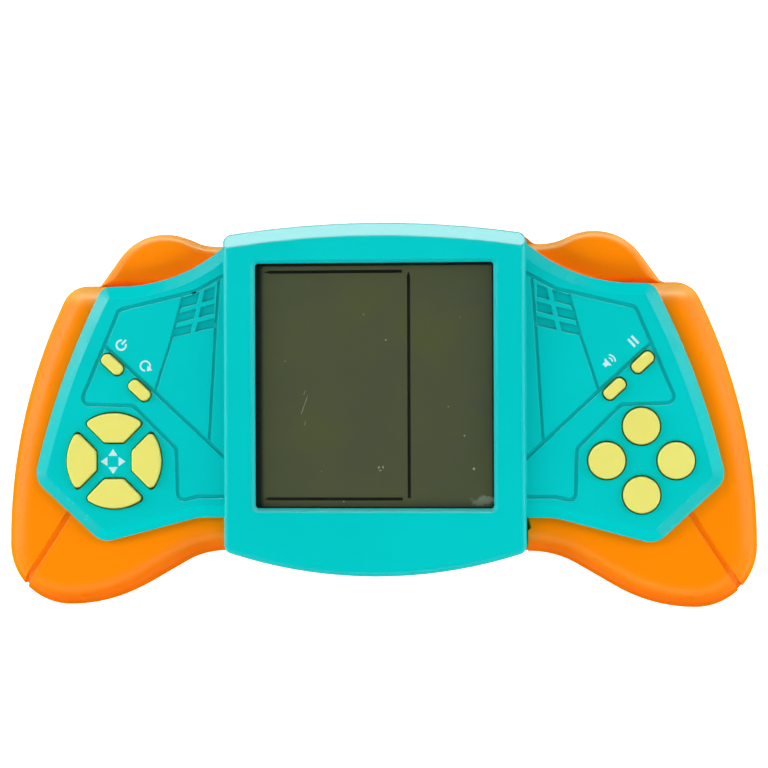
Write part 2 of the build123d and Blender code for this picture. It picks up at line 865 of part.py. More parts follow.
def rear_sheet(low, high):
    """Rear glass or reflector: shorter than the front glass, so that the ledge stays bare."""
    half_x, low_y, high_y = glass_span()
    return box(-half_x, half_x, zebra_span()[1] + zebra_clear, high_y, low, high)


def lcd_frame():
    """Plastic frame that presses the display against the lens and holds the connector."""
    half_x, low_y, high_y = glass_span()
    inner_x = half_x - lcd_frame_rim
    frame = box(-half_x, half_x, low_y, high_y, board_top_z, frame_top_z)
    zebra_low, zebra_high = zebra_span()
    frame -= box(-inner_x, inner_x, zebra_high + lcd_frame_rim, high_y - lcd_frame_rim,
                 board_top_z - 1, frame_top_z + 1)
    zebra_x = half_x - zebra_short
    return frame - box(-zebra_x - zebra_gap, zebra_x + zebra_gap, zebra_low - zebra_gap,
                       zebra_high + zebra_gap, board_top_z - 1, frame_top_z + 1)


def zebra_strip():
    """Rubber connector from the board up to the glass ledge."""
    zebra_low, zebra_high = zebra_span()
    half_x = glass_span()[0] - zebra_short
    return box(-half_x, half_x, zebra_low, zebra_high, board_top_z, front_glass_low_z)


# Boards, mats, ribbons and small parts


def main_board():
    """Main circuit board, screwed to posts of the front cover."""
    half_x = block_half_width - wall - board_edge_gap
    board = box(-half_x, half_x, main_board_low_y, main_board_high_y, board_low_z, board_top_z)
    for side in (-1, 1):
        for post in board_post_places():
            place = (side * post[0], post[1])
            board -= rod(place, small_screw_radius + screw_play, board_low_z - 1, board_top_z + 1)
    return board


def key_board_outline(inset=0.0):
    """Right key board: the lower part of the wing, clear of the plate's ledge."""
    reach = overall_width
    span = Pos(key_board_low_x + inset + reach / 2, key_board_high_y - inset - reach / 2) * Rectangle(reach, reach)
    notch = Pos(*wing_post_place) * Circle(post_radius + key_post_gap + inset)
    return (plate_outline(key_board_inset + inset) & span) - notch


def key_board():
    """Right contact board, screwed under the wing plate."""
    board = slab(key_board_outline(), key_board_low_z, mat_low_z)
    for place in key_post_places:
        board -= rod(place, small_screw_radius + screw_play, key_board_low_z - 1, mat_low_z + 1)
    return board


def key_mat(side):
    """Silicone sheet with one hollow dome under each key of one side."""
    mat = slab(key_board_outline(mat_inset), mat_low_z, mat_low_z + mat_thickness)
    for place in key_post_places:
        mat -= rod(place, key_post_radius + key_post_gap, mat_low_z - 1, mat_low_z + mat_thickness + 1)
    if side < 0:
        mat = mirror(mat, about=Plane.YZ)
    base_z = mat_low_z + mat_thickness
    dome = Cone(dome_base_radius, dome_top_radius, dome_height)
    hollow_height = mat_thickness + dome_height - 1.5 * dome_wall
    hollow = Cone(dome_base_radius - dome_wall, dome_top_radius - 0.7 * dome_wall, hollow_height)
    for name, outline, place, dome_place in key_plan():
        if dome_place.position.X * side > 0:
            mat += dome_place * Pos(0, 0, base_z + dome_height / 2) * dome
            mat -= dome_place * Pos(0, 0, mat_low_z + hollow_height / 2) * hollow
    return mat


def ribbon_run_z():
    """Level of the flat stretch of a ribbon where it passes the block's side wall."""
    return key_board_low_z - ribbon_thickness - ribbon_sag


def ribbon():
    """Right flat cable: from under the key board, through the block's wall, up to the main board."""
    board_x = key_board_low_x + mat_inset
    top_z = key_board_low_z - ribbon_thickness / 2
    run_z = ribbon_run_z() + ribbon_thickness / 2
    rise_x = block_half_width - ribbon_rise_inset
    points = [
        (board_x + ribbon_lap, top_z),
        (board_x, top_z),
        (board_x - 2 * ribbon_sag, run_z),
        (rise_x, run_z),
        (rise_x, board_low_z),
    ]
    strip = trace(FilletPolyline(*points, radius=ribbon_bend), ribbon_thickness)
    upright = Plane(origin=(0, ribbon_y + ribbon_width / 2, 0), x_dir=(1, 0, 0), z_dir=(0, -1, 0))
    return extrude(upright * strip, amount=ribbon_width)


def controller_chip():
    """Chip under a drop of black resin on the back of the main board."""
    drop = Cylinder(chip_radius, chip_height)
    drop = fillet(edges_at(drop, -chip_height / 2), 0.7 * chip_height)
    return Pos(chip_place[0], chip_place[1], board_low_z - chip_height / 2) * drop


def board_components():
    """Capacitor, crystal and chip resistors on the back of the main board."""
    parts = [rod((15.0, 30.0), 2.5, board_low_z - 5.0, board_low_z)]
    parts.append(box(18.0, 24.0, 12.0, 14.5, board_low_z - 2.0, board_low_z))
    for count in range(4):
        x = -26.0 + 4.0 * count
        parts.append(box(x, x + 2.0, 31.0, 32.2, board_low_z - 0.6, board_low_z))
    return parts


def speaker_disc():
    """Piezo disc lying in its ring on the floor of the rear cover."""
    return rod((0, disc_y), disc_radius, tray_z + wall, tray_z + wall + disc_thickness)


def speaker_leads():
    """Two wires from the disc up to the main board."""
    leads = []
    start_z = tray_z + wall + disc_thickness
    for start_x, end_x in ((3.0, 7.0), (6.0, 10.0)):
        knee = (board_low_z - start_z) / 3
        points = [(start_x, disc_y, start_z), (start_x, disc_y, start_z + knee),
                  (end_x, disc_y + 2, board_low_z - knee), (end_x, disc_y + 2, board_low_z)]
        leads.append(wire_along(points, lead_bend))
    return leads


# Screws


def screw(place, seat_z, radius, length, head_radius, head_height):
    """A screw with its head under the seat, pointing up."""
    head = rod(place, head_radius, seat_z - head_height, seat_z)
    head = fillet(edges_at(head, seat_z - head_height), 0.3 * head_height)
    shank = rod(place, radius, seat_z, seat_z + length)
    slot_half = 0.35 * radius
    for turn in (0, 90):
        cross = Rot(0, 0, turn) * Box(1.2 * head_radius, 2 * slot_half, head_height)
        head -= Pos(place[0], place[1], seat_z - head_height) * cross
    return head + shank


def mirrored_screws(places, *sizes):
    """The same screws on both sides of the case."""
    screws = []
    for place in places:
        screws += both_sides(screw(place, *sizes))
    return screws


small_screw = (small_screw_radius, small_screw_length, small_screw_head_radius, small_screw_head_height)
case_screw = (screw_radius, screw_length, screw_head_radius, screw_head_height)

save("front_cover", front_cover())
for node, solid in zip(("right_grip_cover", "left_grip_cover"), both_sides(grip_cover())):
    save(node, solid)
save("rear_cover", rear_cover())
save("battery_door", battery_door())
save("screen_lens", screen_lens())
save("lcd_front_glass", front_glass())
save("lcd_rear_glass", rear_sheet(rear_glass_low_z, front_glass_low_z))
save("lcd_reflector", rear_sheet(frame_top_z, rear_glass_low_z))
save("lcd_frame", lcd_frame())
save("zebra_strip", zebra_strip())
save("main_board", main_board())
save("controller_chip", controller_chip())
save("board_components", *board_components())
for node, solid in zip(("right_key_board", "left_key_board"), both_sides(key_board())):
    save(node, solid)
save("right_key_mat", key_mat(1))
save("left_key_mat", key_mat(-1))
for node, solid in zip(("right_ribbon", "left_ribbon"), both_sides(ribbon())):
    save(node, solid)
for name, outline, place, dome in key_plan():
    save(name, key_cap(outline, place))
save("speaker_disc", speaker_disc())
save("speaker_leads", *speaker_leads())
save("aa_cell_upper", aa_cell(1))
save("aa_cell_lower", aa_cell(-1))
save("battery_springs", battery_spring(1), battery_spring(-1))
save("battery_plates", *battery_plates())
save("battery_leads", *battery_leads())
save("case_screws", *mirrored_screws(case_screw_places(), screw_seat_z, *case_screw))
save("key_board_screws", *mirrored_screws(key_post_places, key_board_low_z, *small_screw))
save("main_board_screws", *mirrored_screws(board_post_places(), board_low_z, *small_screw))
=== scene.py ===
import math

import bmesh
import bpy
from mathutils import Euler, Matrix, Vector


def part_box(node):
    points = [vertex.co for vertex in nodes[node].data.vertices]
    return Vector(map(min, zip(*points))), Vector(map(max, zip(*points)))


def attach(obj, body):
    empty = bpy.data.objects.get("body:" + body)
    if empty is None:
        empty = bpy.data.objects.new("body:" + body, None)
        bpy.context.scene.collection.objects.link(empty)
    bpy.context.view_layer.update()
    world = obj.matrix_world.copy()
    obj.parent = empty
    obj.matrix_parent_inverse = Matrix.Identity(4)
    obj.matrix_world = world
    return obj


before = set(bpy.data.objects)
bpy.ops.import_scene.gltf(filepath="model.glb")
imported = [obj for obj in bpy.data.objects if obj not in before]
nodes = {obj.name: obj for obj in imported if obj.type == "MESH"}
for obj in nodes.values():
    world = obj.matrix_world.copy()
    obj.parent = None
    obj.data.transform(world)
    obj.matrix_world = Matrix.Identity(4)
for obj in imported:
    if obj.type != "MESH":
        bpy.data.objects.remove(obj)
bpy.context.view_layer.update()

# Camera, light and table
#
# The photograph looks almost straight down on the game from about 55 cm, a little from the right.
# Soft boxes stand in front, behind and low at the sides, a pale room fills in, and three cards
# are there for the bevels to mirror.

MM = 0.001
scene = bpy.context.scene
scene.view_settings.view_transform = "Standard"


def linear(code):
    """Linear RGBA of an sRGB hex colour."""
    channels = []
    for start in (1, 3, 5):
        value = int(code[start:start + 2], 16) / 255
        channels.append(value / 12.92 if value <= 0.04045 else ((value + 0.055) / 1.055) ** 2.4)
    return (*channels, 1.0)


def add(tree, kind, inputs=(), stops=(), **settings):
    """Add a shader node with its settings, its inputs and, for a colour ramp, its stops.

    An input is named, or numbered where its names repeat. It takes a value, a socket, or another
    node, which stands for its first output in use. A stop is a position and a hex colour or grey.
    """
    node = tree.nodes.new("ShaderNode" + kind)
    for name, value in settings.items():
        setattr(node, name, value)
    used = [socket for socket in node.inputs if socket.enabled]
    for key, value in dict(inputs).items():
        target = used[key] if isinstance(key, int) else next(s for s in used if s.name == key)
        if isinstance(value, bpy.types.Node):
            value = next(socket for socket in value.outputs if socket.enabled)
        if isinstance(value, bpy.types.NodeSocket):
            tree.links.new(value, target)
        else:
            target.default_value = value
    if stops:
        elements = node.color_ramp.elements
        while len(elements) < len(stops):
            elements.new(0.5)
        for element, (position, value) in zip(elements, stops):
            element.position = position
            element.color = linear(value) if isinstance(value, str) else (value, value, value, 1.0)
    return node


def blank(name):
    """A new material with an empty tree."""
    material = bpy.data.materials.new(name)
    material.use_nodes = True
    material.node_tree.nodes.clear()
    return material, material.node_tree


sensor_width, focal_length = 36.0, 104.896
camera_place = (0.04912, 0.00934, 0.550)
camera_turn = (-0.1889, 5.0952, -0.2003)

camera_data = bpy.data.cameras.new("camera")
camera_data.sensor_width = sensor_width
camera_data.lens = focal_length
camera_data.clip_start = 0.05
camera_data.clip_end = 20.0
camera = bpy.data.objects.new("camera", camera_data)
scene.collection.objects.link(camera)
tilt = Euler([math.radians(degrees) for degrees in camera_turn], "ZYX")
camera.matrix_world = Matrix.Translation(camera_place) @ tilt.to_matrix().to_4x4()
scene.camera = camera

# The walls of the room are pale up to about 20 degrees, dimmer on the player's side, and the
# ceiling is dark, so that nothing bright is mirrored in the window.
room = bpy.data.worlds.new("room")
scene.world = room
room.use_nodes = True
tree = room.node_tree
tree.nodes.clear()
direction = add(tree, "TexCoord").outputs["Generated"]
axes = add(tree, "SeparateXYZ", {"Vector": direction}).outputs
walls = add(tree, "ValToRGB", {"Fac": axes["Z"]},
            stops=[(0.0, 0.68), (0.36, 0.56), (0.58, 0.10), (0.85, 0.01)])
side = add(tree, "MapRange", {"Value": axes["Y"], "From Min": -0.75, "From Max": 0.15,
                              "To Min": 0.35, "To Max": 1.0})
level = add(tree, "Math", {0: walls, 1: side}, operation="MULTIPLY")
background = add(tree, "Background", {"Color": linear("#ffffff"), "Strength": level})
add(tree, "OutputWorld", {"Surface": background})


def soft_box(name, place, size, radiance, target=(0.0, 0.0, 0.0), card=False):
    """A rectangular lamp of some width and height in metres, its brightness given as radiance.

    A soft box lights the game and isn't mirrored in it, and a card is only mirrored.
    """
    light = bpy.data.lights.new(name, "AREA")
    light.shape = "RECTANGLE"
    light.size, light.size_y = size
    light.energy = radiance * math.pi * size[0] * size[1]
    holder = bpy.data.objects.new(name, light)
    scene.collection.objects.link(holder)
    aim = (Vector(target) - Vector(place)).to_track_quat("-Z", "Y")
    holder.matrix_world = Matrix.Translation(place) @ aim.to_matrix().to_4x4()
    holder.visible_diffuse = not card
    holder.visible_glossy = card


soft_box("box_front_left", (-0.60, -0.72, 0.90), (0.6, 0.6), radiance=2.9)
soft_box("box_front", (0.0, -0.95, 0.88), (0.6, 0.6), radiance=3.6)
soft_box("box_front_right", (0.60, -0.72, 0.90), (0.6, 0.6), radiance=2.9)
soft_box("box_back_left", (-0.55, 0.75, 0.90), (0.6, 0.6), radiance=1.9)
soft_box("box_back_right", (0.55, 0.75, 0.90), (0.6, 0.6), radiance=2.1)
soft_box("box_left", (-0.75, 0.10, 0.34), (0.5, 0.5), radiance=5.0)
soft_box("box_right", (0.78, 0.10, 0.34), (0.5, 0.5), radiance=4.2)
soft_box("card_behind", (0.0, 0.72, 0.27), (1.3, 0.30), radiance=8.8, card=True)
soft_box("card_left", (-0.50, 0.30, 0.46), (0.45, 0.30), radiance=4.0,
         target=(-0.06, 0.01, 0.02), card=True)
soft_box("card_right", (0.56, 0.26, 0.46), (0.45, 0.30), radiance=1.4,
         target=(0.06, 0.01, 0.02), card=True)

table_half = 3.0
table_glow = 0.74
mottle_size = 6.667

table_mesh = bpy.data.meshes.new("table")
table_form = bmesh.new()
bmesh.ops.create_grid(table_form, x_segments=8, y_segments=8, size=table_half)
table_form.to_mesh(table_mesh)
table_form.free()
table = bpy.data.objects.new("table", table_mesh)
scene.collection.objects.link(table)
# Matt white paper looks even, with a faint mottle of some 7 mm, far coarser than its fibres, so
# that it shows. Its coordinates run from 0 to 1 over the table. The glow shows to the eye and in
# gloss only, and lights nothing.
paper, tree = blank("white paper sweep")
fibre = add(tree, "TexNoise", {"Scale": 2 * table_half / (mottle_size * MM), "Detail": 3.0})
tone = add(tree, "ValToRGB", {"Fac": fibre}, stops=[(0.0, 0.80), (1.0, 0.84)])
dull = add(tree, "BsdfDiffuse", {"Color": tone})
rays = add(tree, "LightPath").outputs
seen = add(tree, "Math", {0: rays["Is Camera Ray"], 1: rays["Is Glossy Ray"]}, operation="MAXIMUM")
lift = add(tree, "Math", {0: seen, 1: table_glow}, operation="MULTIPLY")
glow = add(tree, "Emission", {"Color": linear("#ffffff"), "Strength": lift})
both = add(tree, "AddShader", {0: dull, 1: glow})
add(tree, "OutputMaterial", {"Surface": both})
table_mesh.materials.append(paper)

# Back shell, grips and battery door
#
# Orange ABS, moulded satin. The back shell carries bosses and the battery bay; two front shells
# close the grips and lobes above it, screwed together from behind, and the door slides in.


def box_mm(name):
    """Lowest and highest corner of a node at rest, in mm."""
    return [[round(value / MM, 3) for value in corner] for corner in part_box(name)]


def middle_mm(name):
    """Middle of a node's box at rest, in mm."""
    low, high = box_mm(name)
    return [(a + b) / 2 for a, b in zip(low, high)]


def dress(material, *names):
    """Put one material on the CAD nodes of these names."""
    for name in names:
        mesh = nodes[name].data
        mesh.materials.clear()
        mesh.materials.append(material)


def per(size):
    """The texture scale at which a pattern measures this size in mm."""
    return 1.0 / (size * MM)


# The painted shade of grooves and low margins, the wear and the eased edges of the mouldings
# follow the height over the wing plates' face, which lies this far below the top of the screen
# block. All of these are in mm.
wing_drop = 3.5
wing_face = box_mm("front_cover")[1][2] - wing_drop
groove_mouth, groove_floor = wing_face - 0.05, wing_face - 0.25
margin_foot, margin_top = wing_face + 0.05, wing_face + 1.05
easing_low, easing_high = wing_face + 0.15, wing_face + 0.45
# The grain that the mould leaves is really about 0.1 mm, and it is drawn coarser so that it shows.
flow_mark, rubbed_patch, grain_size, grain_depth = 45.5, 5.26, 0.385, 0.02
# The low margins take this share of the grooves' painted shade, their haze costs this many times
# as much gloss, and sides towards the player keep this share of the gloss.
margin_shade, haze_cost, near_gloss = 0.2, 4.5, 0.2


def moulded(name, face, near_painted_shade, far_painted_shading, sunk_painted_shade, roughness, wear, eased, gloss_level=0.5,
            rim_painted_light=None, calm_and_painted_light=None):
    """Moulded ABS: flow marks, fine grain, eased edges, touched haze, and painted light and shade.

    The face is three tones of the flat surface, from dark to light. Sides towards the player take
    a painted shade, slopes away from the player a painted shading that is lighter or darker than
    the face, and grooves a painted shade, each given as one tone. The wear is how much hazier the
    slopes of the low wing margins get. The edges are eased by two radii in mm, one up to the
    height of the wing plates and one above it. The calm stops say how far the low margins lose
    their gleam and take a lighter rim tone, a painted highlight, by the way they face: stops over
    the Y part of the normal, moved up by 0.5. Seen at a flat angle the skin turns matt.
    """
    material, tree = blank(name)
    place = add(tree, "TexCoord").outputs["Object"]
    height = add(tree, "SeparateXYZ", {"Vector": place}).outputs["Z"]
    normal = add(tree, "NewGeometry").outputs["Normal"]
    lie = add(tree, "SeparateXYZ", {"Vector": normal}).outputs

    # Which way the face turns, and whether it is a groove's floor or a low margin: the masks for
    # the painted shade and light. The Z part of the normal is 1 on a level face and 0 on an
    # upright one.
    near = add(tree, "MapRange", {"Value": lie["Y"], "From Min": -0.25, "From Max": -0.80},
               interpolation_type="SMOOTHSTEP")
    away = add(tree, "MapRange", {"Value": lie["Y"], "From Min": 0.15, "From Max": 0.75},
               interpolation_type="SMOOTHSTEP")
    leaning = add(tree, "MapRange", {"Value": lie["Z"], "From Min": 0.1, "From Max": 0.4})
    far = add(tree, "Math", {0: away, 1: leaning}, operation="MULTIPLY")
    depth = add(tree, "MapRange", {"Value": height, "From Min": groove_mouth * MM,
                                   "From Max": groove_floor * MM})
    level = add(tree, "MapRange", {"Value": lie["Z"], "From Min": 0.97, "From Max": 0.99})
    groove = add(tree, "Math", {0: depth, 1: level}, operation="MULTIPLY")
    slope = add(tree, "MapRange", {"Value": lie["Z"], "From Min": 0.98, "From Max": 0.92})
    low = add(tree, "MapRange", {"Value": height, "From Min": margin_top * MM,
                                 "From Max": margin_foot * MM})
    margin = add(tree, "Math", {0: slope, 1: low}, operation="MULTIPLY")
    # The low margins take a share of the painted shade of the grooves.
    painted_margin_shade = add(tree, "Math", {0: margin, 1: margin_shade}, operation="MULTIPLY")
    shaded = add(tree, "Math", {0: groove, 1: painted_margin_shade}, operation="MAXIMUM")

    # Faint flow marks, under the painted shade and light of the sides, the slopes and the grooves.
    cloud = add(tree, "TexNoise", {"Vector": place, "Scale": per(flow_mark), "Detail": 3.0,
                                   "Roughness": 0.55})
    flow = add(tree, "ValToRGB", {"Fac": cloud},
               stops=[(0.30, face[0]), (0.5, face[1]), (0.72, face[2])])
    colour = flow
    for share, tone in ((near, near_painted_shade), (far, far_painted_shading), (shaded, sunk_painted_shade)):
        colour = add(tree, "Mix", {"Factor": share, "A": colour, "B": linear(tone)},
                     data_type="RGBA")

    # Patches rubbed by hands, and how much gloss they and a flat angle leave.
    rub = add(tree, "TexNoise", {"Vector": place, "Scale": per(rubbed_patch), "Detail": 4.0,
                                 "Roughness": 0.6})
    haze = add(tree, "MapRange", {"Value": rub, "From Min": 0.35, "From Max": 0.65,
                                  "To Min": -0.04, "To Max": wear})
    touched = add(tree, "Math", {0: haze, 1: margin}, operation="MULTIPLY")
    gloss = add(tree, "Math", {0: touched, 1: roughness}, operation="ADD")
    dulled = add(tree, "Math", {0: touched, 1: haze_cost}, operation="MULTIPLY")
    quenched = add(tree, "Math", {0: near, 1: dulled}, operation="MAXIMUM")
    shine = add(tree, "MapRange", {"Value": quenched, "To Min": gloss_level,
                                   "To Max": near_gloss * gloss_level})
    graze = add(tree, "LayerWeight", {"Blend": 0.5}).outputs["Facing"]
    matt = add(tree, "MapRange", {"Value": graze, "From Min": 0.36, "From Max": 0.54,
                                  "To Min": 1.0, "To Max": 0.0})
    sheen = add(tree, "Math", {0: shine, 1: matt}, operation="MULTIPLY")
    # The calm takes the gleam off the low margins by the way they face, and lays a lighter rim
    # tone in its place there, a painted highlight.
    if calm_and_painted_light:
        turn = add(tree, "Math", {0: lie["Y"], 1: 0.5}, operation="ADD")
        facing = add(tree, "ValToRGB", {"Fac": turn}, stops=calm_and_painted_light)
        sloping = add(tree, "Math", {0: margin, 1: leaning}, operation="MULTIPLY")
        quiet = add(tree, "Math", {0: facing, 1: sloping}, operation="MULTIPLY")
        spared = add(tree, "Math", {0: 1.0, 1: quiet}, operation="SUBTRACT")
        sheen = add(tree, "Math", {0: sheen, 1: spared}, operation="MULTIPLY")
        painted_rim_light = add(tree, "Math", {0: quiet, 1: 3.0}, operation="POWER")
        colour = add(tree, "Mix", {"Factor": painted_rim_light, "A": colour, "B": linear(rim_painted_light)},
                     data_type="RGBA")

    # Eased edges with the mould's grain over them.
    rounding = add(tree, "MapRange", {
        "Value": height, "From Min": easing_low * MM, "From Max": easing_high * MM,
        "To Min": eased[0] * MM, "To Max": eased[1] * MM})
    edge = add(tree, "Bevel", {"Radius": rounding}, samples=6)
    speck = add(tree, "TexNoise", {"Vector": place, "Scale": per(grain_size), "Detail": 2.0})
    grain = add(tree, "Bump", {"Height": speck, "Normal": edge, "Strength": 0.03,
                               "Distance": grain_depth * MM})
    shader = add(tree, "BsdfPrincipled", {
        "Base Color": colour, "Roughness": gloss, "Normal": grain, "IOR": 1.53,
        "Specular IOR Level": gloss_level})
    tree.links.new(sheen.outputs[0], shader.inputs["Specular IOR Level"])
    add(tree, "OutputMaterial", {"Surface": shader})
    return material


# The orange pigment looks deep and warm on flat faces. Down the lower sides a redder painted
# shade is laid on it, and on slopes away from the player a paler painted highlight.
orange = moulded("orange ABS", face=("#ff8401", "#ff8901", "#ff8f02"), near_painted_shade="#f96a00",
                 far_painted_shading="#ffbe54", sunk_painted_shade="#ff8901", roughness=0.30, wear=0.03, eased=(0.5, 0.5),
                 gloss_level=0.2)
dress(orange, "rear_cover", "left_grip_cover", "right_grip_cover", "battery_door")

# Battery bay
#
# Two plain AA cells in printed film sleeves, held head to tail between a linked plate and two
# spring plates of nickel-plated steel, with two insulated wires up to the board.


def metal(name, dark, pale, roughness, brushed=(1.0, 1.0, 1.0)):
    """Plated or drawn metal: faint tarnish clouds and scratches, drawn out along a brushed axis.

    Real scratches are under 0.1 mm wide, and these are drawn coarser so that they show.
    """
    tarnish_cloud, scratch_size, scratch_depth = 2.86, 0.417, 0.02
    material, tree = blank(name)
    place = add(tree, "TexCoord").outputs["Object"]
    cloud = add(tree, "TexNoise", {"Vector": place, "Scale": per(tarnish_cloud), "Detail": 4.0})
    colour = add(tree, "ValToRGB", {"Fac": cloud}, stops=[(0.35, dark), (0.65, pale)])
    stretched = add(tree, "Mapping", {"Vector": place, "Scale": brushed})
    scratch = add(tree, "TexNoise", {"Vector": stretched, "Scale": per(scratch_size),
                                     "Detail": 3.0})
    gloss = add(tree, "MapRange", {"Value": scratch, "From Min": 0.3, "From Max": 0.7,
                                   "To Min": roughness - 0.07, "To Max": roughness + 0.10})
    relief = add(tree, "Bump", {"Height": scratch, "Strength": 0.12,
                                "Distance": scratch_depth * MM})
    shader = add(tree, "BsdfPrincipled", {
        "Base Color": colour, "Metallic": 1.0, "Roughness": gloss, "Normal": relief})
    add(tree, "OutputMaterial", {"Surface": shader})
    return material


def cell_sleeve(name, node, nub):
    """Printed sleeve of a cell along X, with its nub towards +X for a nub of 1 and -X for -1.

    The stops run from the foot to the nub: bare steel, green, a silver band, green, bare steel.
    """
    half_span, scuff_size, scuff_depth = 25.5, 1.43, 0.02
    foot, crimp = 0.034, 0.96
    material, tree = blank(name)
    place = add(tree, "TexCoord").outputs["Object"]
    along = add(tree, "SeparateXYZ", {"Vector": place}).outputs["X"]
    offset = add(tree, "Math", {0: along, 1: middle_mm(node)[0] * MM}, operation="SUBTRACT")
    reach = add(tree, "Math", {0: offset, 1: nub / MM}, operation="MULTIPLY")
    span = add(tree, "MapRange", {"Value": reach, "From Min": -half_span, "From Max": half_span})
    print_tone = add(tree, "ValToRGB", {"Fac": span}, stops=[
        (0.0, "#b9bcbf"), (foot, "#1d5f46"), (0.70, "#226a4e"), (0.705, "#d6d9db"),
        (0.80, "#cfd2d4"), (0.805, "#226a4e"), (0.955, "#1d5f46"), (crimp, "#b9bcbf")])
    print_tone.color_ramp.interpolation = "CONSTANT"
    bare = add(tree, "ValToRGB", {"Fac": span}, stops=[(0.0, 1.0), (foot, 0.0), (crimp, 1.0)])
    bare.color_ramp.interpolation = "CONSTANT"
    scuff = add(tree, "TexNoise", {"Vector": place, "Scale": per(scuff_size), "Detail": 5.0,
                                   "Roughness": 0.7})
    gloss = add(tree, "MapRange", {"Value": scuff, "To Min": 0.2, "To Max": 0.42})
    relief = add(tree, "Bump", {"Height": scuff, "Strength": 0.1, "Distance": scuff_depth * MM})
    shader = add(tree, "BsdfPrincipled", {
        "Base Color": print_tone, "Metallic": bare, "Roughness": gloss, "Normal": relief,
        "IOR": 1.5})
    add(tree, "OutputMaterial", {"Surface": shader})
    return material


# The sleeves are glossy printed film, lightly scuffed, with the steel can bare at both ends.
dress(cell_sleeve("cell sleeve upper", "aa_cell_upper", 1.0), "aa_cell_upper")
dress(cell_sleeve("cell sleeve lower", "aa_cell_lower", -1.0), "aa_cell_lower")
# Nickel plate is a warm pale grey with soft, slightly cloudy reflections.
nickel = metal("nickel plate", "#a7a49c", "#c9c6be", roughness=0.26, brushed=(1.0, 1.0, 0.1))
dress(nickel, "battery_plates", "battery_springs")


def insulation(name, axis, split, first, second):
    """Soft PVC on two wires, told apart by which side of the split in mm they lie on one axis."""
    wax_spot, wax_depth = 1.11, 0.02
    material, tree = blank(name)
    place = add(tree, "TexCoord").outputs["Object"]
    spot = add(tree, "SeparateXYZ", {"Vector": place}).outputs[axis]
    beyond = add(tree, "Math", {0: spot, 1: split * MM}, operation="GREATER_THAN")
    wax = add(tree, "TexNoise", {"Vector": place, "Scale": per(wax_spot), "Detail": 3.0})
    gloss = add(tree, "MapRange", {"Value": wax, "To Min": 0.34, "To Max": 0.5})
    colour = add(tree, "Mix", {"Factor": beyond, "A": linear(first), "B": linear(second)},
                 data_type="RGBA")
    relief = add(tree, "Bump", {"Height": wax, "Strength": 0.15, "Distance": wax_depth * MM})
    shader = add(tree, "BsdfPrincipled", {
        "Base Color": colour, "Roughness": gloss, "Normal": relief, "IOR": 1.52})
    add(tree, "OutputMaterial", {"Surface": shader})
    return material


# PVC over the wires is black and red, slightly waxy, with no sharp highlight.
wire_black, wire_red = "#1c1c1e", "#b3201c"
bay_middle_y = middle_mm("battery_leads")[1]
dress(insulation("battery wire PVC", "Y", bay_middle_y, wire_black, wire_red), "battery_leads")

# Sounder
#
# A brass disc with a fired ceramic spot and a silver film on it, glued in a ring on the floor of
# the back shell over the sound holes. Two thin wires run up to the board.

disc_low, disc_high = box_mm("speaker_disc")
disc_middle = middle_mm("speaker_disc")
disc_radius = (disc_high[0] - disc_low[0]) / 2
ceramic_edge, brass_edge = 0.62, 0.70
turning_mark = 0.667

# Silver film in the middle, a cream ring of ceramic round it, and warm brass out to the edge.
brass, tree = blank("sounder brass and ceramic")
place = add(tree, "TexCoord").outputs["Object"]
offset = add(tree, "VectorMath", {0: place, 1: (disc_middle[0] * MM, disc_middle[1] * MM, 0.0)},
             operation="SUBTRACT")
flat = add(tree, "VectorMath", {0: offset, 1: (1.0, 1.0, 0.0)}, operation="MULTIPLY")
radius = add(tree, "VectorMath", {0: flat}, operation="LENGTH")
share = add(tree, "MapRange", {"Value": radius, "From Min": 0.0, "From Max": disc_radius * MM})
zones = add(tree, "ValToRGB", {"Fac": share},
            stops=[(0.0, "#d3d4d2"), (ceramic_edge, "#e9e4d6"), (brass_edge, "#c39a4c")])
zones.color_ramp.interpolation = "CONSTANT"
plated = add(tree, "ValToRGB", {"Fac": share},
             stops=[(0.0, 0.7), (ceramic_edge, 0.0), (brass_edge, 1.0)])
plated.color_ramp.interpolation = "CONSTANT"
spun = add(tree, "TexNoise", {"Vector": place, "Scale": per(turning_mark), "Detail": 3.0})
gloss = add(tree, "MapRange", {"Value": spun, "To Min": 0.25, "To Max": 0.48})
shader = add(tree, "BsdfPrincipled", {"Base Color": zones, "Metallic": plated, "Roughness": gloss})
add(tree, "OutputMaterial", {"Surface": shader})
dress(brass, "speaker_disc")

# The same soft PVC as on the battery wires, black on the left wire and red on the right one.
wire_split_x = 8.0
dress(insulation("sounder wire PVC", "X", wire_split_x, wire_black, wire_red), "speaker_leads")

# Boards
#
# Phenolic laminate under green solder mask, with copper tracks that show as a raised tone. The
# main board hangs on posts of the front cover and carries a chip under resin and a few parts.


